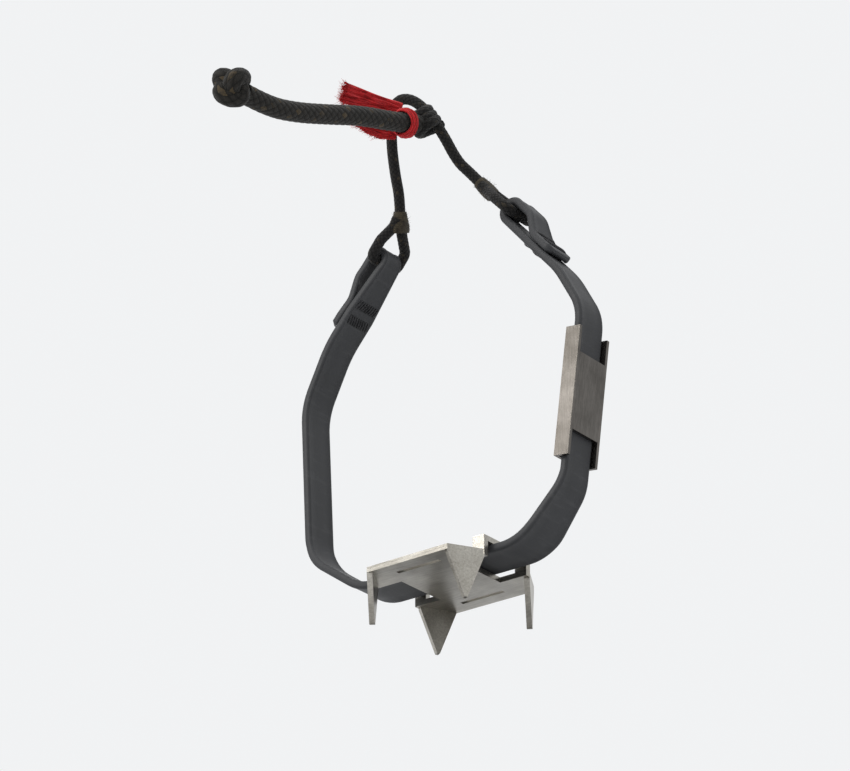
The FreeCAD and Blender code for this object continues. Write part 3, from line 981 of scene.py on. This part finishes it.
def fray_roots(rows, place, turn, rng):
    """Where loose threads start: along the torn end, and a few on the open edges."""
    roots = []
    end = rows[-1]
    for _ in range(320):
        j = rng.uniform(0, len(end) - 1.001)
        tip = end[int(j)].lerp(end[int(j) + 1], j % 1) + Vector((0, 0.6, rng.uniform(-0.15, 0.15)))
        away = Vector((rng.uniform(-0.4, 0.4), -1, rng.uniform(-0.4, 0.4)))
        roots.append((place @ tip, turn @ away))
    for _ in range(36):
        tip = rng.choice(rows[len(rows) // 4 :])[rng.choice((0, -1))]
        roots.append((place @ tip, turn @ Vector((-0.5, -1.3, rng.uniform(-0.6, 0.6)))))
    return roots


def make_tab():
    """One strip of red cloth: wrapped round the pull cord, with a long and a short torn tail."""
    first = Vector(ROUTE_PULL[0])
    way = (Vector(ROUTE_PULL[1]) - first).normalized()
    centre = first + way * TAB_AT
    lie = Quaternion((0, 0, 1), math.radians(TAIL_ROLL))
    lie = lie @ Quaternion((0, 1, 0), math.radians(TAIL_TILT))
    up = lie @ Vector((1, 0, 0))
    beside = centre + lie @ Vector((0, 0, 1)) * TAIL_OUT
    tails = [
        (beside + up * LONG_TAIL_UP, LONG_TAIL, 3),
        (beside - up * SHORT_TAIL_DOWN, SHORT_TAIL, 8),
    ]
    wrap = wrap_rows(centre, way)
    points = [p for row in wrap for p in row]
    faces, uvs = grid_faces(wrap, 0)
    wide = grid_width(wrap)[1]
    long = 2 * math.pi * (PULL_DIA / 2 + 0.9)
    area = wide * long
    roots = []
    for root, marks, seed in tails:
        rng = random.Random(seed)
        rows = tail_rows(marks, rng)
        place = Matrix.Translation(root) @ lie.to_matrix().to_4x4()
        more, more_uvs = grid_faces(rows, len(points))
        faces += more
        uvs += more_uvs
        points += [place @ p for row in rows for p in row]
        widest, average = grid_width([[Vector((p.x, 0, p.z)) for p in row] for row in rows])
        wide = max(wide, widest)
        area += average * marks[-1][0]
        long += marks[-1][0]
        roots += fray_roots(rows, place, lie, rng)
    cloth = new_piece("tab_cloth", points, faces, RED, "tab", uvs)
    solid = cloth.modifiers.new("thickness", "SOLIDIFY")
    solid.thickness = 0.4 * MM
    solid.offset = 0
    fray = fuzz("tab_fray", roots, RED, "tab", 4, (0.5, 2.3), 0.07)
    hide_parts("tab_wrap", "tab_long_tail", "tab_short_tail")


# ---------------------------------------------------------------- metal pieces


def finish_metal(node, material, width):
    """Rounds a CAD node's sharp edges and gives it its metal."""
    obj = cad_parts[node]
    obj.data.materials.clear()
    obj.data.materials.append(material)
    bevel = obj.modifiers.new("soft_edges", "BEVEL")
    bevel.width = width * MM
    bevel.segments = 3
    bevel.limit_method = "ANGLE"
    bevel.angle_limit = math.radians(40)
    weighted = obj.modifiers.new("even_normals", "WEIGHTED_NORMAL")
    weighted.keep_sharp = True
    for polygon in obj.data.polygons:
        polygon.use_smooth = True


# ---------------------------------------------------------------- assembly

place_camera()
place_lights()
pull_line = make_pull_cord()
instep_line = make_instep_cord()
make_hitch(instep_line, pull_line)
make_tab()
make_straps()
finish_metal("spike_plate", STEEL, 0.38)
finish_metal("buckle", BUCKLE_STEEL, 0.34)

FLOOR_HALF = 3000.0
floor_z = cad_box[0][2] / MM - 0.2
around = ((-1, -1), (1, -1), (1, 1), (-1, 1))
floor_corners = [(x * FLOOR_HALF, y * FLOOR_HALF, floor_z) for x, y in around]
new_piece("floor", floor_corners, [(0, 1, 2, 3)], floor_material(), None)
